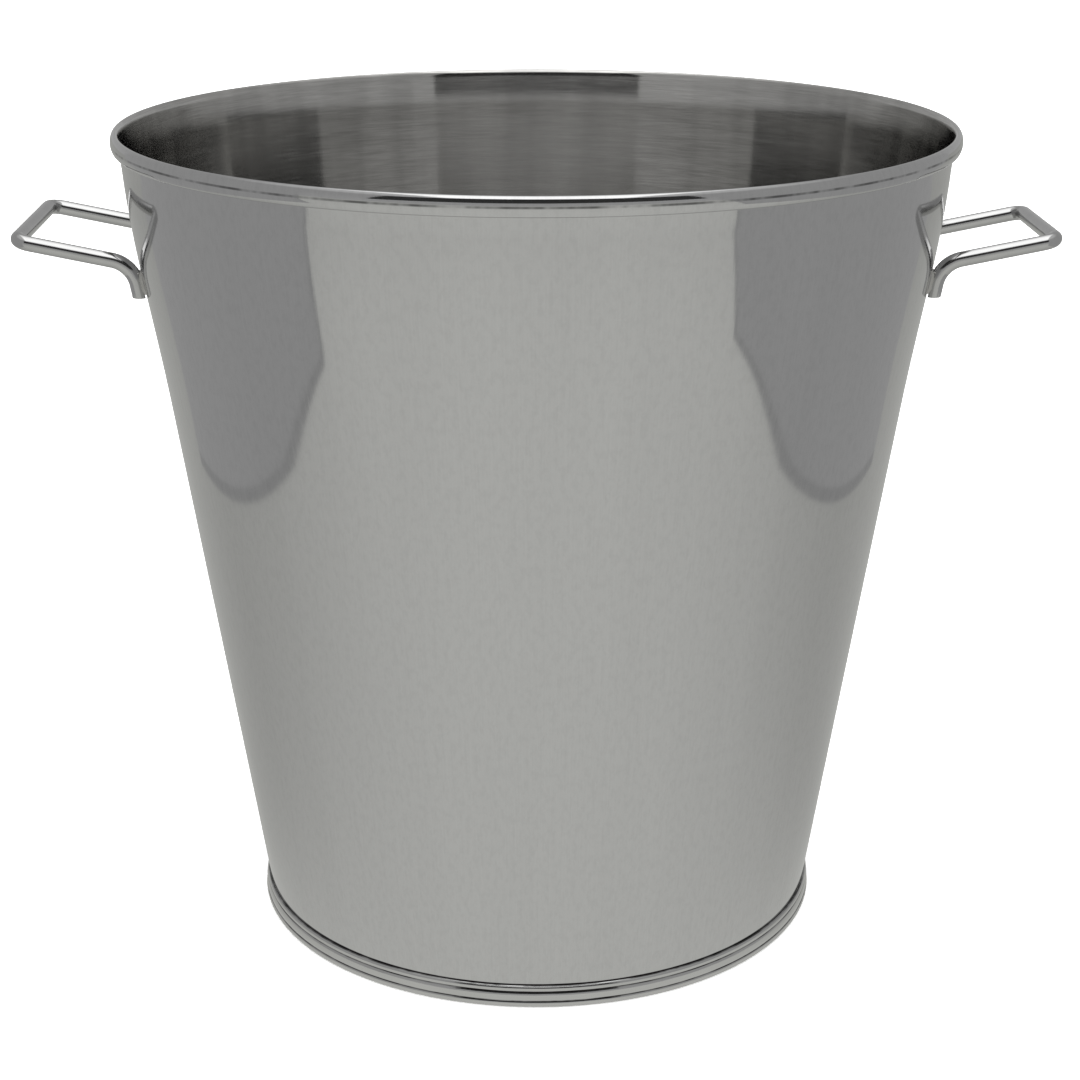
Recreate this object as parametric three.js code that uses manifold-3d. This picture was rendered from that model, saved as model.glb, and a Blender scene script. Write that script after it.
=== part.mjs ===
// A champagne bucket in polished stainless steel: a spun, tapered body with a rolled rim,
// a moulded foot ring and two fixed wire handles.
// Millimetres, +Z up. The origin is on the axis of the bucket, in the plane it stands on.
// The handles lie along +X and -X.
import * as THREE from "three";
import { mergeVertices } from "three/addons/utils/BufferGeometryUtils.js";
import Module from "manifold-3d";

const wasm = await Module();
wasm.setup();

const DEGREE = Math.PI / 180;

// ---------- Driving dimensions ----------

// Body: one sheet, spun into a floor, a tapered wall and a rim that is rolled outward.
const RIM_RADIUS = 105; // axis to the outermost edge of the rim bead
const HEIGHT = 207.4; // table to the top of the rim bead
const SHEET = 0.8;
const BEAD_HALF_WIDTH = 1.2; // the rolled bead is hollow, oval and upright
const BEAD_HALF_HEIGHT = 2.3;
const ROLL_END = -105 * DEGREE; // where the sheet's edge stops, below the bead
const FLOOR_HEIGHT = 2.4; // table to the underside of the floor
const FLOOR_CORNER_RADIUS = 3;
const WALL_FOOT_RADIUS = 73.6; // outside of the wall, at the top of the foot ring
const WALL_SLOPE = 0.1495; // outward run of the wall for each millimetre of height
// Above its straight run the wall swells a little, then flares into the back of the bead.
const SWELL_START = 140; // height
const SWELL_START_PULL = 24; // how far the straight run leads into the swell
const FLARE_START = { radius: 102.45, height: 198, slope: 0.08 };
const SWELL_END_PULL = 20; // how far the start of the flare leads back into the swell
const FLARE_PULL = 2.5; // how far each end of the flare leads into it

// Foot ring: a moulded band with three rounded steps, brazed round the bottom of the wall.
const FOOT_HEIGHT = 5.8;
const FOOT_STEPS = [
  // outside radius and height where each step ends, and how far the step bulges
  { radius: 74.5, height: 1.8, bulge: 0.35 },
  { radius: 74.2, height: 4.25, bulge: 0.3 },
  { radius: 73.8, height: FOOT_HEIGHT, bulge: 0.38 },
];
const FOOT_SOLE_RADIUS = 74.4; // outer edge of the flat it stands on

// Handles: one round wire each, bent into a loop whose two legs lie against the wall.
const HANDLE_WIRE_RADIUS = 1.9;
const GRIP_REACH = 127.2; // axis of the bucket to the centre line of the grip bar
const GRIP_HEIGHT = 181.6; // at the middle of the grip bar
const ARM_SPACING = 43; // between the centre lines of a handle's two arms
const ARM_RISE = 11.4 * DEGREE; // the arms climb this much on their way out
const GRIP_CORNER_RADIUS = 3.5;
const LEG_BEND_RADIUS = 7.5;
const LEG_END_DROP = 14; // from the middle of the grip bar down to the legs' cut ends
const LEG_FLAT = 0.65; // depth ground off the back of each leg, so that it seats on the wall
const LEG_TRIM = 1; // length sawn off each leg, to end it level
const LOOP_TWIST = -1.3 * DEGREE; // the loops were brazed on by hand, a little out of level
const HANDLES = [
  { name: "right", turn: 0, raised: -0.4 },
  { name: "left", turn: Math.PI, raised: 0.4 },
];

// Brazed joints.
const BRAZE_GAP = 0.3; // between a leg and the wall, filled by the braze
const BRAZE_START = 0.6; // from the cut end of the leg up to the fillet
const BRAZE_LENGTH = 5.6;
const BRAZE_BASE_WIDTH = 4.8; // across the fillet, on the wall
const BRAZE_TOP_WIDTH = 3.4; // across the fillet, against the sides of the leg
const BRAZE_THICKNESS = 1.4;
const CLEARANCE = 0.08; // left between a braze fillet and the pieces it joins
const RING_CLEARANCE = 0.06; // left between rings that sit one inside another

// ---------- Facets ----------

const TURN_SEGMENTS = 64; // round the axis of the bucket
const WIRE_SEGMENTS = 10; // round a handle's wire
const HANDLE_STEPS = 60; // along a handle's wire

// ---------- Materials ----------

const polished = (name) =>
  new THREE.MeshStandardMaterial({ name, color: 0xc6c7c7, roughness: 0.08, metalness: 1 });
const brazed = (name) =>
  new THREE.MeshStandardMaterial({ name, color: 0xa9a8a4, roughness: 0.35, metalness: 1 });

// ---------- Outlines, as points (radius, height) ----------

const point = (radius, height) => new THREE.Vector2(radius, height);

// Points along an upright oval, first and last included.
function ovalArc(centre, halfWidth, halfHeight, from, to, steps) {
  return Array.from({ length: steps + 1 }, (_, i) => {
    const angle = from + ((to - from) * i) / steps;
    return point(centre.x + halfWidth * Math.cos(angle), centre.y + halfHeight * Math.sin(angle));
  });
}

const arc = (centre, radius, from, to, steps) => ovalArc(centre, radius, radius, from, to, steps);

// Points of the arc that joins two points and rises by bulge to the right of the way from
// start to end. The start is left out.
function bulgedArc(start, end, bulge, steps) {
  const chord = end.clone().sub(start);
  const right = point(chord.y, -chord.x).normalize();
  const along = chord.clone().normalize();
  const halfAngle = 2 * Math.atan((2 * bulge) / chord.length());
  const radius = chord.length() / 2 / Math.sin(halfAngle);
  const centre = start.clone().add(end).divideScalar(2);
  centre.addScaledVector(right, bulge - radius);
  return Array.from({ length: steps }, (_, i) => {
    const angle = halfAngle * ((2 * (i + 1)) / steps - 1);
    return centre
      .clone()
      .addScaledVector(right, radius * Math.cos(angle))
      .addScaledVector(along, radius * Math.sin(angle));
  });
}

// The same outline, moved to the left of its own direction.
function offsetLeft(outline, distance) {
  return outline.map((here, i) => {
    const before = outline[Math.max(i - 1, 0)];
    const after = outline[Math.min(i + 1, outline.length - 1)];
    const intoHere = here.clone().sub(i ? before : here);
    const outOfHere = after.clone().sub(here);
    const direction = intoHere.normalize().add(outOfHere.normalize()).normalize();
    return point(here.x - direction.y * distance, here.y + direction.x * distance);
  });
}

// ---------- Body outline ----------

const wallAngle = Math.atan(WALL_SLOPE);
const straightWallRadius = (height) => WALL_FOOT_RADIUS + WALL_SLOPE * (height - FOOT_HEIGHT);
const beadCentre = point(RIM_RADIUS - BEAD_HALF_WIDTH, HEIGHT - BEAD_HALF_HEIGHT);

const cornerHeight = FLOOR_HEIGHT + FLOOR_CORNER_RADIUS;
const cornerCentre = point(
  straightWallRadius(cornerHeight) - FLOOR_CORNER_RADIUS / Math.cos(wallAngle),
  cornerHeight,
);

// A curve up the outside of the wall. Each end has a radius, height, slope and pull.
function wallCurve(start, end, steps) {
  const startPull = point(start.radius + start.slope * start.pull, start.height + start.pull);
  const endPull = point(end.radius - end.slope * end.pull, end.height - end.pull);
  return new THREE.CubicBezierCurve(
    point(start.radius, start.height),
    startPull,
    endPull,
    point(end.radius, end.height),
  ).getPoints(steps);
}

const straightEnd = {
  radius: straightWallRadius(SWELL_START),
  height: SWELL_START,
  slope: WALL_SLOPE,
  pull: SWELL_START_PULL,
};
const backOfBead = {
  radius: beadCentre.x - BEAD_HALF_WIDTH + SHEET,
  height: beadCentre.y,
  slope: 0,
  pull: FLARE_PULL,
};

// The outside of the sheet, from the axis under the floor, up the wall to the bead.
const sheetOutside = [
  point(0, FLOOR_HEIGHT),
  ...arc(cornerCentre, FLOOR_CORNER_RADIUS, -Math.PI / 2, -wallAngle, 4),
  ...wallCurve(straightEnd, { ...FLARE_START, pull: SWELL_END_PULL }, 6),
  ...wallCurve({ ...FLARE_START, pull: FLARE_PULL }, backOfBead, 3).slice(1),
];

// Outside radius of the wall at a height, anywhere above the floor's corner.
function wallRadius(height) {
  const above = sheetOutside.findIndex((p) => p.y >= height);
  const low = sheetOutside[above - 1];
  const high = sheetOutside[above];
  return THREE.MathUtils.mapLinear(height, low.y, high.y, low.x, high.x);
}

// The sheet's section: up its outside, round the hollow of the bead to the sheet's edge, back
// over the outside of the bead, and down the inside of the bucket.
function bodyOutline() {
  const hollowHalfWidth = BEAD_HALF_WIDTH - SHEET;
  const hollowHalfHeight = BEAD_HALF_HEIGHT - SHEET;
  const hollow = ovalArc(beadCentre, hollowHalfWidth, hollowHalfHeight, Math.PI, ROLL_END, 8);
  const bead = ovalArc(beadCentre, BEAD_HALF_WIDTH, BEAD_HALF_HEIGHT, ROLL_END, Math.PI, 12);
  const sheetInside = offsetLeft(sheetOutside, SHEET).reverse().slice(1);
  return [...sheetOutside, ...hollow.slice(1), ...bead, ...sheetInside];
}

// ---------- Foot outline ----------

const footInnerRadius = WALL_FOOT_RADIUS + RING_CLEARANCE;

function footRingOutline() {
  const outline = [point(footInnerRadius, 0), point(FOOT_SOLE_RADIUS, 0)];
  for (const step of FOOT_STEPS) {
    const end = point(step.radius, step.height);
    outline.push(...bulgedArc(outline.at(-1), end, step.bulge, 4));
  }
  outline.push(point(footInnerRadius, FOOT_HEIGHT), outline[0].clone());
  return outline;
}

// The braze fillet between the rounded corner of the floor and the inside of the foot ring.
function footBrazeOutline() {
  const TOP_ANGLE = -20 * DEGREE;
  const BOTTOM_ANGLE = -65 * DEGREE;
  const FILLET_BOTTOM = 1.3;
  const outerRadius = footInnerRadius - RING_CLEARANCE;
  const againstFloor = arc(
    cornerCentre,
    FLOOR_CORNER_RADIUS + RING_CLEARANCE,
    TOP_ANGLE,
    BOTTOM_ANGLE,
    4,
  );
  const outline = [
    ...againstFloor,
    point(outerRadius, FILLET_BOTTOM),
    point(outerRadius, againstFloor[0].y),
  ];
  outline.push(outline[0].clone());
  return outline;
}

// ---------- Solids ----------

// An outline turned about the axis of the bucket.
const turned = (outline) => new THREE.LatheGeometry(outline, TURN_SEGMENTS).rotateX(Math.PI / 2);

// A round bend that leaves one straight run and joins the next, at a corner of a wire.
class WireBend extends THREE.Curve {
  constructor(before, corner, after, radius) {
    super();
    this.into = corner.clone().sub(before).normalize();
    this.outOf = after.clone().sub(corner).normalize();
    this.turn = this.into.angleTo(this.outOf);
    this.reach = radius * Math.tan(this.turn / 2); // corner to where the bend starts
    this.start = corner.clone().addScaledVector(this.into, -this.reach);
    this.end = corner.clone().addScaledVector(this.outOf, this.reach);
    const alongInto = this.outOf.dot(this.into);
    this.inward = this.outOf.clone().addScaledVector(this.into, -alongInto).normalize();
    this.radius = radius;
  }

  getPoint(t, target = new THREE.Vector3()) {
    const angle = this.turn * t;
    return target
      .copy(this.start)
      .addScaledVector(this.into, this.radius * Math.sin(angle))
      .addScaledVector(this.inward, this.radius * (1 - Math.cos(angle)));
  }
}

// A wire's centre line: straight runs between corners, each inner corner bent to its radius.
function bentWire(corners) {
  const path = new THREE.CurvePath();
  let runStart = corners[0].at;
  for (let i = 1; i < corners.length - 1; i += 1) {
    const { at, bend } = corners[i];
    const corner = new WireBend(corners[i - 1].at, at, corners[i + 1].at, bend);
    path.add(new THREE.LineCurve3(runStart, corner.start));
    path.add(corner);
    runStart = corner.end;
  }
  path.add(new THREE.LineCurve3(runStart, corners.at(-1).at));
  return path;
}

// From the wall to the centre line of a leg: its flat back is one braze gap off the wall.
const legStandOff = BRAZE_GAP + HANDLE_WIRE_RADIUS - LEG_FLAT;

// Where the centre line of a leg runs, beside the wall.
function legCentre(height) {
  const fromAxis = wallRadius(height) + legStandOff / Math.cos(wallAngle);
  return point(Math.sqrt(fromAxis ** 2 - (ARM_SPACING / 2) ** 2), height);
}

// One half of a loop on +X, seen from the side: the cut end of its leg, the direction up the
// leg, the corner where the leg's line meets the arm's line, and the corner at the grip bar.
function halfLoop(side, raised) {
  const y = (side * ARM_SPACING) / 2;
  const grip = point(GRIP_REACH, GRIP_HEIGHT + raised + y * Math.tan(LOOP_TWIST));
  const legEnd = legCentre(grip.y - LEG_END_DROP);
  const arm = point(Math.cos(ARM_RISE), Math.sin(ARM_RISE));
  const armMeetsWallHeight = grip.y - (grip.x - legEnd.x) * Math.tan(ARM_RISE);
  const upLeg = legCentre(armMeetsWallHeight).sub(legEnd).normalize();
  const toArm = grip.clone().sub(legEnd).cross(arm) / upLeg.cross(arm);
  const legCorner = legEnd.clone().addScaledVector(upLeg, toArm);
  return { y, grip, legEnd, upLeg, legCorner };
}

// The centre line of a handle on +X, before its legs are trimmed.
function handlePath(raised) {
  const corners = [-1, 1].map((side) => {
    const { y, grip, legEnd, upLeg, legCorner } = halfLoop(side, raised);
    const place = (p) => new THREE.Vector3(p.x, y, p.y);
    const untrimmedEnd = legEnd.clone().addScaledVector(upLeg, -LEG_TRIM);
    return [
      { at: place(untrimmedEnd) },
      { at: place(legCorner), bend: LEG_BEND_RADIUS },
      { at: place(grip), bend: GRIP_CORNER_RADIUS },
    ];
  });
  return bentWire([...corners[0], ...corners[1].reverse()]);
}

function wireAlong(path, radius) {
  const section = new THREE.Shape().absarc(0, 0, radius, 0, 2 * Math.PI);
  return new THREE.ExtrudeGeometry(section, {
    extrudePath: path,
    steps: HANDLE_STEPS,
    curveSegments: WIRE_SEGMENTS / 2,
    bevelEnabled: false,
  });
}

// ---------- Cutting ----------

function toManifold(geometry) {
  const bare = geometry.clone();
  bare.deleteAttribute("normal");
  bare.deleteAttribute("uv");
  const merged = mergeVertices(bare, 1e-4);
  return new wasm.Manifold(
    new wasm.Mesh({
      numProp: 3,
      vertProperties: merged.attributes.position.array,
      triVerts: new Uint32Array(merged.index.array),
    }),
  );
}

function toGeometry(manifold) {
  const { vertProperties, triVerts } = manifold.getMesh();
  const geometry = new THREE.BufferGeometry();
  geometry.setAttribute("position", new THREE.BufferAttribute(vertProperties, 3));
  geometry.setIndex(new THREE.BufferAttribute(triVerts, 1));
  geometry.computeVertexNormals();
  return geometry;
}

// ---------- Handles and their braze fillets ----------

// The bucket as a solid plug, grown by a gap, beside the legs.
function wallPlug(gap) {
  const beside = sheetOutside.filter((p) => p.y > cornerHeight && p.y <= FLARE_START.height);
  const grown = beside.map((p) => point(p.x + gap / Math.cos(wallAngle), p.y));
  return toManifold(turned([point(0, grown[0].y), ...grown, point(0, grown.at(-1).y)]));
}

// A handle's bent wire with its legs seated on the wall. Grown, it is the space that a
// fillet leaves for it.
function seatedWire(raised, growth) {
  const wire = toManifold(wireAlong(handlePath(raised), HANDLE_WIRE_RADIUS + growth));
  return wire.subtract(wallPlug(BRAZE_GAP - growth));
}

function handle(raised) {
  let wire = seatedWire(raised, 0);
  for (const side of [-1, 1]) {
    const { y, legEnd } = halfLoop(side, raised);
    const size = 4 * HANDLE_WIRE_RADIUS;
    const sawn = new THREE.BoxGeometry(size, size, size);
    sawn.translate(legEnd.x, y, legEnd.y - size / 2);
    wire = wire.subtract(toManifold(sawn));
  }
  return toGeometry(wire);
}

// The fillet under one leg, before the leg and the wall are cut out of it. Its section has
// its base in the wall and hollow sides that run up to the leg.
function filletBlank(side, raised) {
  const DEPTH_IN_WALL = 0.6;
  const section = new THREE.Shape();
  section.moveTo(-BRAZE_BASE_WIDTH / 2, -DEPTH_IN_WALL);
  section.lineTo(BRAZE_BASE_WIDTH / 2, -DEPTH_IN_WALL);
  section.lineTo(BRAZE_BASE_WIDTH / 2, 0);
  section.quadraticCurveTo(BRAZE_TOP_WIDTH / 2, 0, BRAZE_TOP_WIDTH / 2, BRAZE_THICKNESS);
  section.lineTo(-BRAZE_TOP_WIDTH / 2, BRAZE_THICKNESS);
  section.quadraticCurveTo(-BRAZE_TOP_WIDTH / 2, 0, -BRAZE_BASE_WIDTH / 2, 0);
  const blank = new THREE.ExtrudeGeometry(section, {
    depth: BRAZE_LENGTH,
    curveSegments: 3,
    bevelEnabled: false,
  });

  const { y, legEnd, upLeg } = halfLoop(side, raised);
  const up = new THREE.Vector3(upLeg.x, 0, upLeg.y);
  const outward = new THREE.Vector3(legEnd.x, y, 0).normalize();
  outward.addScaledVector(up, -outward.dot(up)).normalize();
  const across = new THREE.Vector3().crossVectors(outward, up);
  const onWall = new THREE.Vector3(legEnd.x, y, legEnd.y)
    .addScaledVector(outward, -legStandOff)
    .addScaledVector(up, BRAZE_START);
  return blank.applyMatrix4(
    new THREE.Matrix4().makeBasis(across, outward, up).setPosition(onWall),
  );
}

function legFillet(side, raised) {
  const blank = toManifold(filletBlank(side, raised));
  const fillet = blank.subtract(wallPlug(CLEARANCE)).subtract(seatedWire(raised, CLEARANCE));
  return toGeometry(fillet);
}

// ---------- Assembly ----------

function mesh(name, geometry, material) {
  const made = new THREE.Mesh(geometry, material);
  made.name = name;
  return made;
}

// A handle and its two braze fillets.
function handleSet({ name, turn, raised }) {
  const set = new THREE.Group();
  set.add(mesh(`handle_${name}`, handle(raised), polished("handle_wire")));
  for (const side of [-1, 1]) {
    const place = side * Math.cos(turn) < 0 ? "front" : "rear";
    set.add(mesh(`braze_${name}_${place}`, legFillet(side, raised), brazed("braze_filler")));
  }
  set.rotation.z = turn;
  return set;
}

const bucket = new THREE.Group();
bucket.add(mesh("bucket_body", turned(bodyOutline()), polished("body_steel")));
bucket.add(mesh("foot_ring", turned(footRingOutline()), polished("foot_steel")));
bucket.add(mesh("foot_braze_seam", turned(footBrazeOutline()), brazed("braze_filler")));
HANDLES.forEach((loop) => bucket.add(handleSet(loop)));

export default bucket;
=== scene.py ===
import math

import bmesh
import bpy
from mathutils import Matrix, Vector

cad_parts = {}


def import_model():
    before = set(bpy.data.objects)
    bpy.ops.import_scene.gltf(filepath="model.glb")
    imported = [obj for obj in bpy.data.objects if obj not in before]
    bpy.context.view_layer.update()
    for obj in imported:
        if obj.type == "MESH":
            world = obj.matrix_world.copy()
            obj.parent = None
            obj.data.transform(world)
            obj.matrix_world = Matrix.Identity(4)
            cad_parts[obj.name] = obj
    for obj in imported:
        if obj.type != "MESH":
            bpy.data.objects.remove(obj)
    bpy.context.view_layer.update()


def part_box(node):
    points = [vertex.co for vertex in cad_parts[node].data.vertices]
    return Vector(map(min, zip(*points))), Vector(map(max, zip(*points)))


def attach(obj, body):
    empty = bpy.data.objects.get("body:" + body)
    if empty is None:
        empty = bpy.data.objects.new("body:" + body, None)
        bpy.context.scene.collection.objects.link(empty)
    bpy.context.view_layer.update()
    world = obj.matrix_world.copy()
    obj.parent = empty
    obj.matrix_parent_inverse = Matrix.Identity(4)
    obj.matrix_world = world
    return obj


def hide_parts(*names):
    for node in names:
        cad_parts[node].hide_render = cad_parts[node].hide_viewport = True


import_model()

# A champagne bucket in polished stainless steel. Metres; the axis of the bucket is +Z, it
# stands on z = 0, and the handles lie along +X and -X. Every CAD node is replaced here by the
# same shape without facets, since a mirror finish shows each facet.

MM = 0.001

# ---------- Sizes: the first few from the CAD parts, the rest given ---

BODY_LOW, BODY_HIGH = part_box("bucket_body")
FOOT_LOW, FOOT_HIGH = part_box("foot_ring")
SEAM_LOW, SEAM_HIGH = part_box("foot_braze_seam")

RIM_RADIUS = BODY_HIGH.x
HEIGHT = BODY_HIGH.z
FLOOR_HEIGHT = BODY_LOW.z
FOOT_HEIGHT = FOOT_HIGH.z
FOOT_RADIUS = FOOT_HIGH.x
WALL_FOOT_RADIUS = SEAM_HIGH.x

SHEET = 0.8 * MM
FLOOR_CORNER_RADIUS = 3 * MM
WALL_SLOPE = 0.1495
SWELL_START = 140 * MM
SWELL_START_PULL = 24 * MM
FLARE_START_RADIUS = 102.45 * MM
FLARE_START = 198 * MM
FLARE_START_SLOPE = 0.08
SWELL_END_PULL = 20 * MM
FLARE_END_SLOPE = 0.12
FLARE_PULL = 2.5 * MM
BEAD_HALF_WIDTH = 1.2 * MM
BEAD_HALF_HEIGHT = 2.3 * MM
ROLL_END = math.radians(-105)

HANDLE_WIRE_RADIUS = 1.9 * MM
ARM_RISE = math.radians(11.4)
GRIP_CORNER_RADIUS = 3.5 * MM
LEG_BEND_RADIUS = 7.5 * MM
LEG_END_DROP = 14 * MM
LEG_FLAT = 0.65 * MM
LEG_TRIM = 1 * MM
LOOP_TWIST = math.radians(-1.3)
BRAZE_GAP = 0.3 * MM
RING_CLEARANCE = 0.06 * MM

# Steps of the foot, from the bottom: outside radius and height of each end, and its bulge, in mm.
FOOT_STEPS = [(74.5, 1.8, 0.35), (74.2, 4.25, 0.3), (73.8, 5.8, 0.38)]

FOOT_SOLE_INSET = 0.4 * MM
FOOT_EDGE_HEIGHT = 0.1 * MM
FOOT_EDGE_WIDTH = 0.15 * MM
SEAM_TOP, SEAM_BOTTOM = math.radians(-20), math.radians(-65)
SEAM_HOLLOW = 0.35 * MM

WIRE_END_CHAMFER = 0.15 * MM

# A braze pad: half its width at the wall and at the leg, its thickness, and how far its edges
# go into the wall.
PAD_BASE_HALF = 2.4 * MM
PAD_TOP_HALF = 1.75 * MM
PAD_THICKNESS = 0.95 * MM
PAD_SUNK = 0.12 * MM
PAD_STEPS = 22
PAD_FLANK_STEPS = 8

TURN_STEPS = 320
WIRE_SIDES = 40
BEND_STEPS = 20
SHARP_EDGE = math.radians(40)
ON_THE_AXIS = 1e-7


# ---------- Outlines, as (radius, height) ----------


def oval_arc(centre, half_width, half_height, start, end, steps):
    """Points along an upright oval, first and last included."""
    points = []
    for i in range(steps + 1):
        angle = start + (end - start) * i / steps
        points.append(centre + Vector((half_width * math.cos(angle), half_height * math.sin(angle))))
    return points


def arc(centre, radius, start, end, steps):
    """Points along a round arc, first and last included."""
    return oval_arc(centre, radius, radius, start, end, steps)


def line(start, end, steps):
    """Points of a straight run. The start is left out."""
    start, end = Vector(start), Vector(end)
    return [start.lerp(end, (i + 1) / steps) for i in range(steps)]


def bulged_arc(start, end, bulge, steps):
    """An arc from start to end that rises by bulge to its right. The start is left out."""
    start, end = Vector(start), Vector(end)
    along = (end - start).normalized()
    right = Vector((along.y, -along.x))
    half_angle = 2 * math.atan(2 * bulge / (end - start).length)
    radius = (end - start).length / 2 / math.sin(half_angle)
    centre = (start + end) / 2 + right * (bulge - radius)
    points = []
    for i in range(steps):
        angle = half_angle * (2 * (i + 1) / steps - 1)
        points.append(centre + right * radius * math.cos(angle) + along * radius * math.sin(angle))
    return points


def offset_left(outline, distance):
    """The same outline, moved to the left of its own direction."""
    moved = []
    for i, here in enumerate(outline):
        before = outline[max(i - 1, 0)]
        after = outline[min(i + 1, len(outline) - 1)]
        along = (after - before).normalized()
        moved.append(here + Vector((-along.y, along.x)) * distance)
    return moved


WALL_ANGLE = math.atan(WALL_SLOPE)
BEAD_CENTRE = Vector((RIM_RADIUS - BEAD_HALF_WIDTH, HEIGHT - BEAD_HALF_HEIGHT))
# Where the wall runs into the bead: the bead is as steep there as the end of the flare.
ROLL_START = math.pi - math.atan(FLARE_END_SLOPE * BEAD_HALF_HEIGHT / BEAD_HALF_WIDTH)


def on_bead(sunk, angle):
    """A place in the sheet of the bead, sunk below its face."""
    half_width = BEAD_HALF_WIDTH - sunk
    half_height = BEAD_HALF_HEIGHT - sunk
    return BEAD_CENTRE + Vector((half_width * math.cos(angle), half_height * math.sin(angle)))


BACK_OF_BEAD = on_bead(SHEET, ROLL_START)


def straight_wall_radius(height):
    """Outside radius of the wall's straight run, carried on to any height."""
    return WALL_FOOT_RADIUS + WALL_SLOPE * (height - FOOT_HEIGHT)


CORNER_CENTRE = Vector((
    straight_wall_radius(FLOOR_HEIGHT + FLOOR_CORNER_RADIUS) - FLOOR_CORNER_RADIUS / math.cos(WALL_ANGLE),
    FLOOR_HEIGHT + FLOOR_CORNER_RADIUS,
))


def wall_curve(start, start_slope, start_pull, end, end_slope, end_pull, steps):
    """A curve up the wall between two points, each with its slope and pull. The start is left out."""
    leaving = start + Vector((start_slope, 1)) * start_pull
    arriving = end - Vector((end_slope, 1)) * end_pull
    points = []
    for i in range(steps):
        t = (i + 1) / steps
        s = 1 - t
        points.append(start * s**3 + leaving * 3 * s * s * t + arriving * 3 * s * t * t + end * t**3)
    return points


def wall_outside():
    """The outside of the sheet, from the rounded corner of the floor up to the bead."""
    corner = arc(CORNER_CENTRE, FLOOR_CORNER_RADIUS, -math.pi / 2, -WALL_ANGLE, 16)
    swell_start = Vector((straight_wall_radius(SWELL_START), SWELL_START))
    flare_start = Vector((FLARE_START_RADIUS, FLARE_START))
    straight = line(corner[-1], swell_start, 48)
    swell = wall_curve(
        swell_start, WALL_SLOPE, SWELL_START_PULL, flare_start, FLARE_START_SLOPE, SWELL_END_PULL, 60
    )
    flare = wall_curve(
        flare_start, FLARE_START_SLOPE, FLARE_PULL, BACK_OF_BEAD, FLARE_END_SLOPE, FLARE_PULL, 14
    )
    return corner + straight + swell + flare


WALL = wall_outside()


def wall_radius(height):
    """Outside radius of the wall at a height."""
    for low, high in zip(WALL, WALL[1:]):
        if low.y <= height <= high.y:
            return low.x + (high.x - low.x) * (height - low.y) / (high.y - low.y)
    return BACK_OF_BEAD.x


# ---------- Mesh building ----------


def finished(name, mesh_data, materials, node):
    """An object with its faces outward and crisp edges, which stands for a CAD node."""
    mesh = bpy.data.meshes.new(name)
    bmesh.ops.recalc_face_normals(mesh_data, faces=mesh_data.faces)
    mesh_data.to_mesh(mesh)
    mesh_data.free()
    mesh.shade_smooth()
    mesh.set_sharp_from_angle(angle=SHARP_EDGE)
    for material in materials:
        mesh.materials.append(material)
    piece = bpy.data.objects.new(name, mesh)
    bpy.context.scene.collection.objects.link(piece)
    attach(piece, "root")
    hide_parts(node)


def lathe(outline, closed=True, material_of=None):
    """An outline turned about the axis. A point on the axis becomes one vertex. material_of gives
    the material slot of each run of the outline."""
    mesh_data = bmesh.new()
    rings = []
    for p in outline:
        if p.x < ON_THE_AXIS:
            rings.append([mesh_data.verts.new((0, 0, p.y))] * TURN_STEPS)
            continue
        ring = []
        for k in range(TURN_STEPS):
            angle = 2 * math.pi * k / TURN_STEPS
            ring.append(mesh_data.verts.new((p.x * math.cos(angle), p.x * math.sin(angle), p.y)))
        rings.append(ring)
    count = len(rings) if closed else len(rings) - 1
    for i in range(count):
        low, high = rings[i], rings[(i + 1) % len(rings)]
        for k in range(TURN_STEPS):
            after = (k + 1) % TURN_STEPS
            corners = [low[k], low[after], high[after], high[k]]
            corners = list(dict.fromkeys(corners))
            if len(corners) < 3:
                continue
            face = mesh_data.faces.new(corners)
            if material_of:
                face.material_index = material_of(i)
    return mesh_data


# ---------- Node materials ----------


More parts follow.
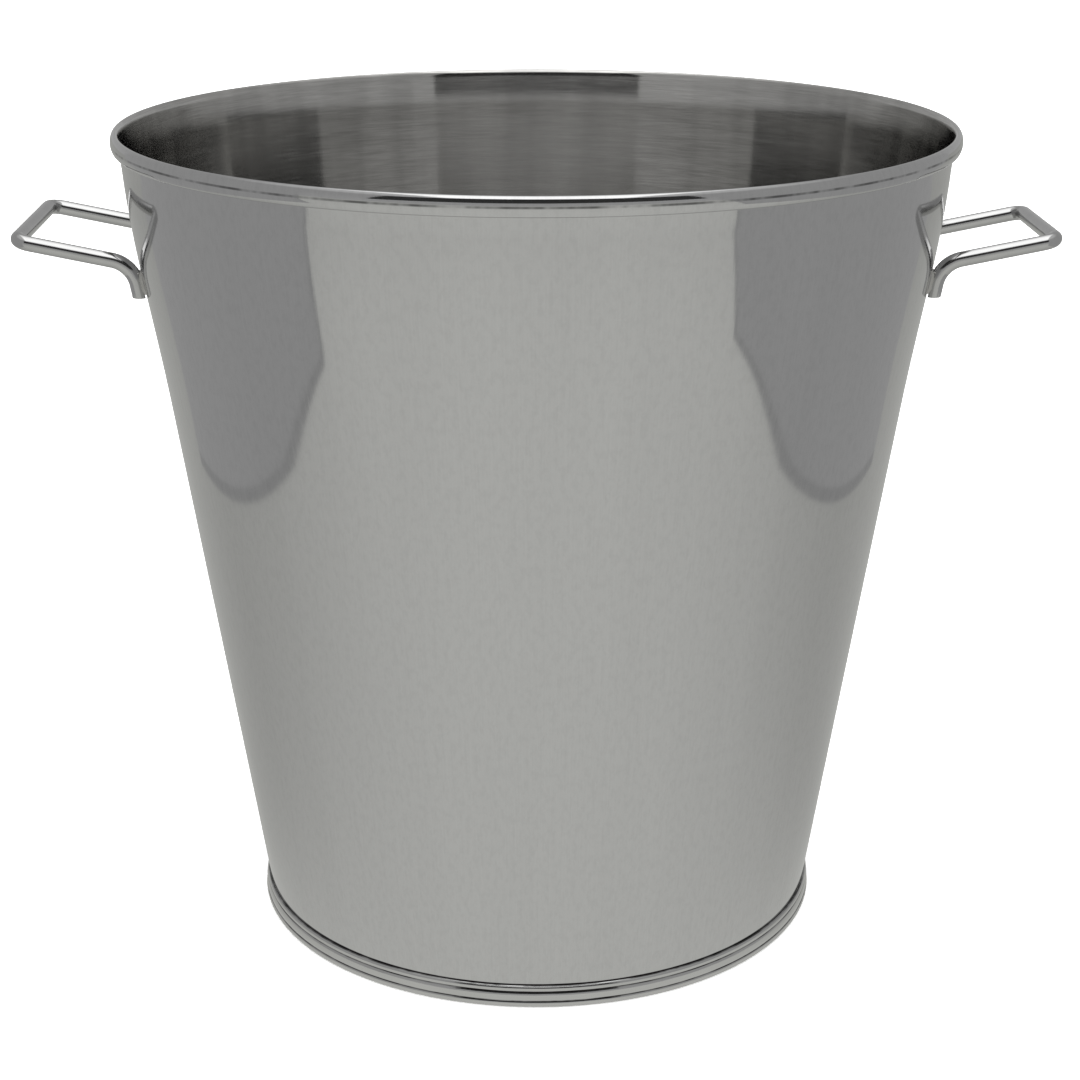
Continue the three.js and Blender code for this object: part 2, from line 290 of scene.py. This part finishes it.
class Nodes:
    """Short calls for building the node tree of a material or of the world."""

    def __init__(self, name, owner=None):
        self.material = owner or bpy.data.materials.new(name)
        self.material.use_nodes = True
        self.tree = self.material.node_tree
        self.tree.nodes.clear()

    def add(self, kind, inputs=None, **settings):
        node = self.tree.nodes.new(kind)
        for key, value in settings.items():
            setattr(node, key, value)
        for key, value in (inputs or {}).items():
            self.put(node.inputs[key], value)
        return node

    def put(self, socket, value):
        if isinstance(value, bpy.types.NodeSocket):
            self.tree.links.new(value, socket)
        else:
            socket.default_value = value

    def math(self, operation, *values):
        node = self.tree.nodes.new("ShaderNodeMath")
        node.operation = operation
        for socket, value in zip(node.inputs, values):
            self.put(socket, value)
        return node.outputs[0]

    def between(self, factor, low, high):
        """A factor from 0 to 1, spread over a range."""
        return self.math("MULTIPLY_ADD", factor, high - low, low)

    def step(self, value, start, end):
        """0 below start, 1 above end and smooth between them; the other way if end is lower."""
        node = self.add("ShaderNodeMapRange", {"Value": value}, interpolation_type="SMOOTHSTEP")
        self.put(node.inputs["From Min"], min(start, end))
        self.put(node.inputs["From Max"], max(start, end))
        self.put(node.inputs["To Min"], 0.0 if start < end else 1.0)
        self.put(node.inputs["To Max"], 1.0 if start < end else 0.0)
        return node.outputs["Result"]

    def mixed(self, factor, low, high):
        """A number that goes from low to high with a factor; any of them may be a socket."""
        node = self.add("ShaderNodeMix", {"Factor": factor})
        self.put(node.inputs[2], low)
        self.put(node.inputs[3], high)
        return node.outputs[0]

    def grey(self, level):
        channels = {"Red": level, "Green": level, "Blue": level}
        return self.add("ShaderNodeCombineColor", channels).outputs[0]

    def noise(self, vector, scale, detail=2.0, roughness=0.5):
        node = self.add(
            "ShaderNodeTexNoise",
            {"Vector": vector, "Scale": scale, "Detail": detail, "Roughness": roughness},
        )
        return node.outputs["Fac"]

    def turned_noise(self, angle, height, around, up, scale=1.0, detail=2.0, roughness=0.5):
        """Noise on a turned piece, stretched by its own amount round the axis and up it."""
        place = self.vector(self.math("MULTIPLY", angle, around), self.math("MULTIPLY", height, up), 0.0)
        return self.noise(place, scale, detail, roughness)

    def bump(self, height, distance, normal=None):
        inputs = {"Height": height, "Distance": distance}
        if normal:
            inputs["Normal"] = normal
        return self.add("ShaderNodeBump", inputs).outputs["Normal"]

    def place(self):
        return self.add("ShaderNodeTexCoord").outputs["Object"]

    def axes(self, vector):
        return self.add("ShaderNodeSeparateXYZ", {"Vector": vector}).outputs

    def round_the_axis(self, place):
        """Where a place is on a turned piece: (angle about the axis, radius, height)."""
        x, y, z = self.axes(place)
        angle = self.math("ARCTAN2", y, x)
        radius = self.math("SQRT", self.math("ADD", self.math("MULTIPLY", x, x), self.math("MULTIPLY", y, y)))
        return angle, radius, z

    def vector(self, x, y, z):
        return self.add("ShaderNodeCombineXYZ", {"X": x, "Y": y, "Z": z}).outputs[0]

    def metal(self, color, roughness, normal, **more):
        """Ends the tree with a bare metal. The names of more settings have _ for a space."""
        shader = self.add("ShaderNodeBsdfPrincipled", {"Metallic": 1.0})
        self.put(shader.inputs["Base Color"], color)
        self.put(shader.inputs["Roughness"], roughness)
        self.put(shader.inputs["Normal"], normal)
        for key, value in more.items():
            self.put(shader.inputs[key.replace("_", " ")], value)
        self.add("ShaderNodeOutputMaterial", {"Surface": shader.outputs[0]})
        return self.material

    def window(self, value, low, high, softness):
        """1 between low and high, falling smoothly to 0 outside them."""
        up = self.step(value, low - softness, low)
        down = self.step(value, high + softness, high)
        return self.math("MULTIPLY", up, down)

    def darken_by_shade_or_tone(self, color, amount, left):
        """A colour darkened by an amount, down to the share that is left: tone that differs at random, and
        painted shade in creases.
        """
        shade = self.grey(self.between(amount, 1.0, left))
        node = self.add("ShaderNodeMix", {"Factor": 1.0}, data_type="RGBA", blend_type="MULTIPLY")
        self.put(node.inputs[6], color)
        self.put(node.inputs[7], shade)
        return node.outputs[2]

    def tinted(self, factor, dark, light):
        """A colour between dark and light."""
        node = self.add("ShaderNodeMix", data_type="RGBA")
        self.put(node.inputs["Factor"], factor)
        self.put(node.inputs[6], (*dark, 1))
        self.put(node.inputs[7], (*light, 1))
        return node.outputs[2]


def polished_outside():
    """Mirror-polished sheet: slow waves left by spinning, faint upright polishing marks, and
    painted shade in the creases under the rim bead and above the foot, broken up by noise."""
    n = Nodes("polished_sheet_steel")
    place = n.place()
    angle, _, height = n.round_the_axis(place)
    streaks = n.turned_noise(angle, height, 60.0, 9.0, 4.0, 3.0, 0.6)
    soft_bands = n.turned_noise(angle, height, 7.0, 4.0)
    mottle = n.turned_noise(angle, height, 60.0, 320.0, 1.0, 3.0, 0.7)
    # Noise that breaks the painted shade in the creases into runs.
    crease_shade_noise = n.turned_noise(angle, height, 9.0, 0.0, 1.0, 3.0, 0.7)
    waves = n.noise(place, 14.0, 1.0)
    ripples = n.noise(place, 130.0, 1.0)
    clouds = n.noise(place, 30.0, 3.0)

    rough = n.math("ADD", n.between(streaks, 0.02, 0.08), n.between(clouds, 0.0, 0.03))
    bead_only = n.step(height, BEAD_CENTRE.y - BEAD_HALF_HEIGHT, BEAD_CENTRE.y)
    normal = n.bump(waves, 0.012 * MM)
    normal = n.bump(soft_bands, 0.01 * MM, normal)
    normal = n.bump(streaks, 0.002 * MM, normal)
    normal = n.bump(n.math("MULTIPLY", ripples, bead_only), 0.03 * MM, normal)

    color = n.tinted(streaks, (0.535, 0.535, 0.535), (0.585, 0.585, 0.585))
    color = n.darken_by_shade_or_tone(color, n.step(soft_bands, 0.35, 0.70), 0.98)
    color = n.darken_by_shade_or_tone(color, n.step(mottle, 0.40, 0.70), 0.95)
    # Painted shade: the crease under the rim bead and the crease above the foot are darkened, in broken runs.
    shade_breaks = n.step(crease_shade_noise, 0.35, 0.60)
    bead_crease_shade = n.window(height, BEAD_CENTRE.y - 0.12 * MM, BEAD_CENTRE.y + 0.12 * MM, 0.25 * MM)
    color = n.darken_by_shade_or_tone(color, n.math("MULTIPLY", bead_crease_shade, shade_breaks), 0.30)
    foot_crease_shade = n.window(height, FOOT_HEIGHT - 1 * MM, FOOT_HEIGHT + 0.25 * MM, 0.2 * MM)
    foot_crease_shade = n.math("MULTIPLY", foot_crease_shade, n.between(shade_breaks, 0.55, 1.0))
    color = n.darken_by_shade_or_tone(color, foot_crease_shade, 0.22)
    return n.metal(color, rough, normal)


def brushed_inside():
    """Sheet brushed round and round: fine hairlines that spread reflections up and down."""
    n = Nodes("brushed_sheet_steel")
    angle, radius, height = n.round_the_axis(n.place())
    along_profile = n.math("ADD", height, radius)
    fine = n.turned_noise(angle, along_profile, 10.0, 2200.0, 1.0, 3.0, 0.7)
    broad = n.turned_noise(angle, along_profile, 4.0, 420.0)
    bands = n.turned_noise(angle, along_profile, 9.0, 8.0)
    hairs = n.math("ADD", n.math("MULTIPLY", fine, 0.65), n.math("MULTIPLY", broad, 0.35))

    rough = n.between(hairs, 0.05, 0.15)
    normal = n.bump(hairs, 0.006 * MM)
    color = n.tinted(hairs, (0.25, 0.245, 0.235), (0.83, 0.825, 0.805))
    color = n.darken_by_shade_or_tone(color, n.step(bands, 0.35, 0.70), 0.86)
    tangent = n.add("ShaderNodeTangent", direction_type="RADIAL", axis="Z").outputs[0]
    return n.metal(color, rough, normal, Anisotropic=1.0, Anisotropic_Rotation=0.25, Tangent=tangent)


def polished_foot():
    """Polished ring, worn by handling, with painted shade along the creases at the ends of its steps, broken
    up by noise.
    """
    n = Nodes("polished_foot_steel")
    place = n.place()
    angle, _, height = n.round_the_axis(place)
    scuffs = n.turned_noise(angle, height, 12.0, 900.0, 1.0, 3.0, 0.6)
    # Noise that breaks the painted shade in the creases into runs.
    shade_breaks = n.turned_noise(angle, height, 7.0, 300.0, 1.0, 3.0, 0.7)
    wear = n.noise(place, 60.0, 3.0)
    ripples = n.noise(place, 160.0, 2.0)

    rough = n.math("ADD", n.between(scuffs, 0.03, 0.09), n.between(wear, 0.0, 0.05))
    normal = n.bump(ripples, 0.06 * MM)
    normal = n.bump(scuffs, 0.002 * MM, normal)
    color = n.tinted(wear, (0.52, 0.52, 0.515), (0.60, 0.60, 0.595))
    # Painted shade: each crease at the end of a step is darkened, in broken runs.
    groove_shade = 0.0
    for _, groove_height, _ in FOOT_STEPS:
        around = groove_height * MM
        one_groove_shade = n.window(height, around - 0.1 * MM, around + 0.1 * MM, 0.14 * MM)
        groove_shade = n.math("MAXIMUM", groove_shade, one_groove_shade)
    groove_shade = n.math("MULTIPLY", groove_shade, n.between(n.step(shade_breaks, 0.35, 0.62), 0.35, 1.0))
    color = n.darken_by_shade_or_tone(color, groove_shade, 0.15)
    return n.metal(color, rough, normal)


def polished_wire():
    """Polished drawn wire with small dents and fine marks from handling."""
    n = Nodes("polished_wire_steel")
    place = n.place()
    dents = n.noise(place, 220.0, 2.0)
    marks = n.noise(place, 1500.0, 2.0)
    rough = n.math("ADD", n.between(marks, 0.04, 0.12), n.between(dents, 0.0, 0.05))
    normal = n.bump(dents, 0.02 * MM)
    color = n.tinted(dents, (0.50, 0.50, 0.50), (0.58, 0.58, 0.575))
    return n.metal(color, rough, normal)


def satin_filler():
    """Filler metal as it set: a fine grain, and colours left by the heat."""
    n = Nodes("satin_braze_filler")
    place = n.place()
    grain = n.noise(place, 2400.0, 3.0)
    heat = n.noise(place, 350.0, 2.0)
    rough = n.math("ADD", n.between(grain, 0.22, 0.42), n.between(heat, 0.0, 0.08))
    normal = n.bump(grain, 0.02 * MM)
    color = n.tinted(heat, (0.36, 0.355, 0.34), (0.55, 0.545, 0.53))
    return n.metal(color, rough, normal)


# ---------- Turned pieces ----------


def spun_body():
    """One sheet: the floor, the wall and the rolled bead. The face of the bead is polished like
    the outside, and its back is brushed like the inside."""
    outside = line((0, FLOOR_HEIGHT), WALL[0], 12)[:-1] + WALL
    hollow_half_width = BEAD_HALF_WIDTH - SHEET
    hollow_half_height = BEAD_HALF_HEIGHT - SHEET
    hollow = oval_arc(BEAD_CENTRE, hollow_half_width, hollow_half_height, ROLL_START, ROLL_END, 40)[1:]
    bead_face = oval_arc(BEAD_CENTRE, BEAD_HALF_WIDTH, BEAD_HALF_HEIGHT, ROLL_END, math.pi / 2, 56)
    bead_back = oval_arc(BEAD_CENTRE, BEAD_HALF_WIDTH, BEAD_HALF_HEIGHT, math.pi / 2, ROLL_START, 24)[1:]
    inside = offset_left(outside, SHEET)[::-1][2:]
    outline = [Vector((0, FLOOR_HEIGHT))] + outside + hollow + bead_face + bead_back + inside
    outline.append(Vector((0, FLOOR_HEIGHT + SHEET)))
    first_inside = 1 + len(outside) + len(hollow) + len(bead_face)
    mesh_data = lathe(outline, False, lambda i: 1 if i >= first_inside - 1 else 0)
    finished("spun_body", mesh_data, [polished_outside(), brushed_inside()], "bucket_body")


def foot_ring():
    """A band with three rounded steps."""
    inner = WALL_FOOT_RADIUS + RING_CLEARANCE
    sole = FOOT_RADIUS - FOOT_SOLE_INSET
    outline = [Vector((inner, 0)), Vector((sole - FOOT_EDGE_WIDTH, 0)), Vector((sole, FOOT_EDGE_HEIGHT))]
    for radius, height, bulge in FOOT_STEPS:
        outline += bulged_arc(outline[-1], (radius * MM, height * MM), bulge * MM, 14)
    outline.append(Vector((inner, FOOT_HEIGHT)))
    finished("stepped_foot", lathe(outline), [polished_foot()], "foot_ring")


def foot_seam(filler):
    """Filler metal between the rounded corner of the floor and the foot ring."""
    outline = arc(CORNER_CENTRE, FLOOR_CORNER_RADIUS + RING_CLEARANCE, SEAM_TOP, SEAM_BOTTOM, 12)
    low = Vector((WALL_FOOT_RADIUS, SEAM_LOW.z))
    outline += bulged_arc(outline[-1], low, -SEAM_HOLLOW, 10)
    outline.append(Vector((WALL_FOOT_RADIUS, outline[0].y)))
    finished("foot_seam", lathe(outline), [filler], "foot_braze_seam")


# ---------- Handles ----------


LEG_STAND_OFF = BRAZE_GAP + HANDLE_WIRE_RADIUS - LEG_FLAT


def leg_centre(height):
    """How far the centre line of a leg is from the axis of the bucket."""
    return wall_radius(height) + LEG_STAND_OFF / math.cos(WALL_ANGLE)


class Loop:
    """The centre line of one handle, laid out on +X and turned into place."""

    def __init__(self, node, turn):
        low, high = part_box(node)
        self.turn = turn
        self.half_spacing = high.y - HANDLE_WIRE_RADIUS
        self.reach = max(abs(low.x), abs(high.x)) - HANDLE_WIRE_RADIUS
        lift = self.half_spacing * math.tan(abs(LOOP_TWIST))
        self.grip_height = low.z + LEG_END_DROP + lift

    def leg_at(self, height):
        """A place on a leg, as (out along X, height)."""
        return Vector((math.sqrt(leg_centre(height) ** 2 - self.half_spacing**2), height))

    def half(self, side):
        """One half of the loop: its y, and as (out along X, height) the corner of its grip, the
        end of its leg, the way up the leg and the corner where the leg turns into the arm."""
        y = side * self.half_spacing
        grip = Vector((self.reach, self.grip_height + y * math.tan(LOOP_TWIST)))
        leg_end = self.leg_at(grip.y - LEG_END_DROP)
        arm = Vector((math.cos(ARM_RISE), math.sin(ARM_RISE)))
        arm_meets_wall = grip.y - (grip.x - leg_end.x) * math.tan(ARM_RISE)
        up_leg = (self.leg_at(arm_meets_wall) - leg_end).normalized()
        to_grip = grip - leg_end
        to_arm = (to_grip.x * arm.y - to_grip.y * arm.x) / (up_leg.x * arm.y - up_leg.y * arm.x)
        return y, grip, leg_end, up_leg, leg_end + up_leg * to_arm


def bent(corners):
    """Points along straight runs whose inner corners are bent: corners are (place, radius)."""
    points = [corners[0][0]]
    for (before, _), (corner, radius), (after, _) in zip(corners, corners[1:], corners[2:]):
        into = (corner - before).normalized()
        out_of = (after - corner).normalized()
        turn = into.angle(out_of)
        start = corner - into * radius * math.tan(turn / 2)
        inward = (out_of - into * out_of.dot(into)).normalized()
        for i in range(BEND_STEPS + 1):
            angle = turn * i / BEND_STEPS
            points.append(start + into * radius * math.sin(angle) + inward * radius * (1 - math.cos(angle)))
    points.append(corners[-1][0])
    return points


def tube(points, radius):
    """Rings of a round wire along a line, each ring square to the line."""
    rings = []
    across = None
    for i, here in enumerate(points):
        along = (points[min(i + 1, len(points) - 1)] - points[max(i - 1, 0)]).normalized()
        if across is None:
            across = along.orthogonal().normalized()
        across = (across - along * across.dot(along)).normalized()
        third = along.cross(across)
        ring_points = []
        for k in range(WIRE_SIDES):
            angle = 2 * math.pi * k / WIRE_SIDES
            ring_points.append(here + across * radius * math.cos(angle) + third * radius * math.sin(angle))
        rings.append(ring_points)
    return rings


def grind_backs(rings):
    """Grinds the backs of the legs to the shape of the wall."""
    for ring_points in rings:
        for p in ring_points:
            if p.z >= FLARE_START:
                continue
            limit = wall_radius(p.z) + BRAZE_GAP
            from_axis = math.hypot(p.x, p.y)
            if from_axis < limit:
                p.x *= limit / from_axis
                p.y *= limit / from_axis


def cut_level(ring_points, up_leg, cut):
    """The last two rings of a leg cut off level at a height: the wire's side and the flat end."""
    side = [p + up_leg * ((cut + WIRE_END_CHAMFER - p.z) / up_leg.z) for p in ring_points]
    centre = sum(side, Vector()) / len(side)
    centre.z = cut
    share = 1 - WIRE_END_CHAMFER / HANDLE_WIRE_RADIUS
    flat = [centre.lerp(Vector((p.x, p.y, cut)), share) for p in side]
    return side, flat


def skinned(rings, turn):
    """Closed rings joined into one body with flat ends, turned about the axis by 0 or a half turn."""
    mesh_data = bmesh.new()
    spin = math.cos(turn)
    made = []
    for ring_points in rings:
        made.append([mesh_data.verts.new((spin * p.x, spin * p.y, p.z)) for p in ring_points])
    sides = len(made[0])
    for below, above in zip(made, made[1:]):
        for k in range(sides):
            after = (k + 1) % sides
            mesh_data.faces.new([below[k], below[after], above[after], above[k]])
    mesh_data.faces.new(made[0])
    mesh_data.faces.new(made[-1])
    return mesh_data


def handle(name, node, loop, material):
    """One wire: up a leg, out along an arm, across the grip and back."""
    runs = []
    ends = []
    for side in (-1, 1):
        y, grip, leg_end, up_leg, leg_corner = loop.half(side)
        untrimmed = leg_end - up_leg * LEG_TRIM
        runs.append([
            (Vector((untrimmed.x, y, untrimmed.y)), 0),
            (Vector((leg_corner.x, y, leg_corner.y)), LEG_BEND_RADIUS),
            (Vector((grip.x, y, grip.y)), GRIP_CORNER_RADIUS),
        ])
        ends.append((Vector((up_leg.x, 0, up_leg.y)), leg_end.y))
    rings = tube(bent(runs[0] + runs[1][::-1]), HANDLE_WIRE_RADIUS)
    grind_backs(rings)
    first_side, first_flat = cut_level(rings[0], *ends[0])
    last_side, last_flat = cut_level(rings[-1], *ends[1])
    rings = [first_flat, first_side] + rings[1:-1] + [last_side, last_flat]
    finished(name, skinned(rings, loop.turn), [material], node)


def pad_section(swell):
    """Half of a pad's outline and the other half back, as (across, outward): wide on the wall,
    narrower against the leg. swell is the size of this section beside the fullest one."""
    section = []
    for direction in (-1, 1):
        flank = []
        for j in range(PAD_FLANK_STEPS + 1):
            a = j / PAD_FLANK_STEPS
            width = PAD_TOP_HALF + (PAD_BASE_HALF - PAD_TOP_HALF) * swell * (1 - a) ** 2
            rise = -PAD_SUNK + (PAD_THICKNESS * swell + PAD_SUNK) * a**2
            flank.append((direction * width, rise))
        section += flank if direction == -1 else flank[::-1]
    return section


def braze_pad(name, node, loop, side, material):
    """The fillet of filler metal between one leg and the wall."""
    y, _, leg_end, up_leg, _ = loop.half(side)
    low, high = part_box(node)
    start = low.z - leg_end.y
    length = high.z - low.z
    up = Vector((up_leg.x, 0, up_leg.y))
    outward = Vector((leg_end.x, y, 0)).normalized()
    outward = (outward - up * outward.dot(up)).normalized()
    across = outward.cross(up)
    foot = Vector((leg_end.x, y, leg_end.y)) - outward * LEG_STAND_OFF
    rings = []
    for i in range(PAD_STEPS + 1):
        t = i / PAD_STEPS
        swell = max(0.02, math.sin(math.pi * t)) ** 0.4
        centre = foot + up * (start + length * t)
        rings.append([centre + across * a + outward * o for a, o in pad_section(swell)])
    finished(name, skinned(rings, loop.turn), [material], node)


# ---------- Build ----------

spun_body()
foot_ring()
filler = satin_filler()
foot_seam(filler)
wire_steel = polished_wire()
for side_name, turn in (("right", 0.0), ("left", math.pi)):
    loop = Loop(f"handle_{side_name}", turn)
    handle(f"loop_handle_{side_name}", f"handle_{side_name}", loop, wire_steel)
    for side in (-1, 1):
        place = "front" if side * math.cos(turn) < 0 else "rear"
        braze_pad(f"braze_pad_{side_name}_{place}", f"braze_{side_name}_{place}", loop, side, filler)


# ---------- Studio ----------


# Brightness of what the metal reflects. The metal is exposed darker than the white background.
TENT_LOW, TENT_MIDDLE, TENT_TOP = 0.44, 0.40, 0.64
ROOM = 0.025
STRIP_BACK, STRIP_OVERHEAD = 1.0, 1.8
PANEL, PANEL_EDGE, OPENING = 0.40, 0.33, 0.04
FLOOR_FRONT, FLOOR_BACK, FLOOR_FAR_SHARE = 0.68, 0.46, 0.84
# What the camera sees, and what lights the floor.
WORLD_LIGHT = 1.2
FLOOR_WHITE = 1.6
FLOOR_HALF_WIDTH = 6.0

PANEL_DISTANCE = 2.93 * RIM_RADIUS
PANEL_BACK = 1.85 * RIM_RADIUS
PANEL_TOP = 3.0 * RIM_RADIUS
PANEL_HEM = 0.06 * RIM_RADIUS


def staged(name, corners, material):
    """A flat stage piece."""
    mesh = bpy.data.meshes.new(name)
    mesh.from_pydata([tuple(c) for c in corners], [], [tuple(range(len(corners)))])
    mesh.materials.append(material)
    panel = bpy.data.objects.new(name, mesh)
    bpy.context.scene.collection.objects.link(panel)
    return panel


def card(name, corners, strength):
    """A flat panel that only reflections see."""
    n = Nodes(name)
    glow = n.add("ShaderNodeEmission", {"Color": (1, 1, 1, 1), "Strength": strength})
    n.add("ShaderNodeOutputMaterial", {"Surface": glow.outputs[0]})
    panel = staged(name, corners, n.material)
    panel.visible_camera = False
    panel.visible_diffuse = False
    panel.visible_shadow = False


def floor():
    """A pale floor. The camera sees it lit white; reflections see it as a glow with painted light
    at the metal's exposure, brighter in front of the bucket than behind it, and a little darker far away."""
    n = Nodes("pale_floor")
    place = n.place()
    from_bucket = n.add("ShaderNodeVectorMath", {0: place}, operation="LENGTH").outputs["Value"]
    _, y, _ = n.axes(place)
    behind = n.math("DIVIDE", y, from_bucket)
    near = n.mixed(n.step(behind, -1.1, 0.35), FLOOR_FRONT, FLOOR_BACK)
    far_share = n.mixed(n.step(from_bucket, 0.25, 1.3), 1.0, FLOOR_FAR_SHARE)
    glow = n.math("MULTIPLY", near, far_share)
    lit = n.add("ShaderNodeBsdfDiffuse", {"Color": (FLOOR_WHITE, FLOOR_WHITE, FLOOR_WHITE, 1)}).outputs[0]
    # Painted light: what reflections see of the floor is an emission, not the lamps' light on it.
    shown = n.add("ShaderNodeEmission", {"Color": (1.0, 1.005, 0.965, 1), "Strength": glow}).outputs[0]
    seen_in_metal = n.add("ShaderNodeLightPath").outputs["Is Glossy Ray"]
    mix = n.add("ShaderNodeMixShader", {0: seen_in_metal, 1: lit, 2: shown})
    n.add("ShaderNodeOutputMaterial", {"Surface": mix.outputs[0]})
    half = FLOOR_HALF_WIDTH
    staged("floor", [(-half, -half, 0), (half, -half, 0), (half, half, 0), (-half, half, 0)], n.material)


def world():
    """The studio round the bucket, as its metal sees it: a grey tent with a white strip across
    its top, and a dark room beyond the opening that the camera looks through."""
    made = bpy.data.worlds.new("studio")
    bpy.context.scene.world = made
    n = Nodes("studio", made)
    x, y, z = n.axes(n.add("ShaderNodeTexCoord").outputs["Generated"])
    aside = n.math("ABSOLUTE", x)

    tent = n.mixed(n.step(z, 0.0, 0.5), TENT_LOW, TENT_MIDDLE)
    tent = n.mixed(n.step(z, 0.62, 0.85), tent, TENT_TOP)
    toward_camera = n.math("MAXIMUM", n.math("MULTIPLY", y, -1.0), 0.001)
    opening = n.step(n.math("DIVIDE", aside, toward_camera), 0.66, 0.62)
    opening = n.math("MULTIPLY", opening, n.step(y, -0.3, -0.36))
    opening = n.math("MULTIPLY", opening, n.step(z, 0.22, 0.30))
    strip = n.math("MULTIPLY", n.step(aside, 0.38, 0.30), n.step(z, 0.62, 0.84))
    strip_level = n.mixed(n.step(y, 0.7, 0.0), STRIP_BACK, STRIP_OVERHEAD)

    level = n.mixed(opening, tent, ROOM)
    level = n.mixed(strip, level, strip_level)
    seen_in_metal = n.add("ShaderNodeLightPath").outputs["Is Glossy Ray"]
    level = n.mixed(seen_in_metal, WORLD_LIGHT, level)
    background = n.add("ShaderNodeBackground", {"Color": n.grey(level), "Strength": 1.0})
    n.add("ShaderNodeOutputWorld", {"Surface": background.outputs[0]})


def side_card(name, side, front, lean):
    """One grey side of the tent, with a darker hem. Its front edge leans towards the camera up to
    the height of the rim."""
    x = side * PANEL_DISTANCE
    lean_top = front - lean * HEIGHT
    back, top, hem = PANEL_BACK, PANEL_TOP, PANEL_HEM
    outline = [(x, front, 0), (x, back, 0), (x, back, top), (x, lean_top, top), (x, lean_top, HEIGHT)]
    card(name, outline, PANEL)
    inside = x - side * MM
    foot = [(inside, front, 0), (inside, back, 0), (inside, back, hem), (inside, front, hem)]
    card(name + "_hem", foot, PANEL_EDGE)
    edge = [
        (inside, front, 0),
        (inside, front + hem, 0),
        (inside, lean_top + hem, HEIGHT),
        (inside, lean_top, HEIGHT),
    ]
    card(name + "_edge", edge, PANEL_EDGE)


def opening_card():
    """The dark opening of the tent where the inside of the bucket sees it, over the near rim."""
    y = -2.4 * RIM_RADIUS
    half_width = 1.74 * RIM_RADIUS
    low, high = 2.37 * RIM_RADIUS, 3.7 * RIM_RADIUS
    outline = [(-half_width, y, low), (half_width, y, low), (half_width, y, high), (-half_width, y, high)]
    card("opening_card", outline, OPENING)


floor()
world()
opening_card()
side_card("left_card", -1, -1.9 * RIM_RADIUS, 0.12)
side_card("right_card", 1, -2.3 * RIM_RADIUS, 0.5)


def camera():
    """In front of the bucket and a little above its rim, looking slightly down."""
    data = bpy.data.cameras.new("photo_camera")
    data.sensor_width = 36
    data.lens = 75.2
    data.clip_start = 0.05
    data.clip_end = 50
    eye = bpy.data.objects.new("photo_camera", data)
    bpy.context.scene.collection.objects.link(eye)
    eye.location = (0, -5.394 * RIM_RADIUS, 2.7674 * RIM_RADIUS)
    eye.rotation_euler = (math.pi / 2 - 0.3292, 0, -0.0015)
    bpy.context.scene.camera = eye


camera()
bpy.context.scene.view_settings.view_transform = "Standard"
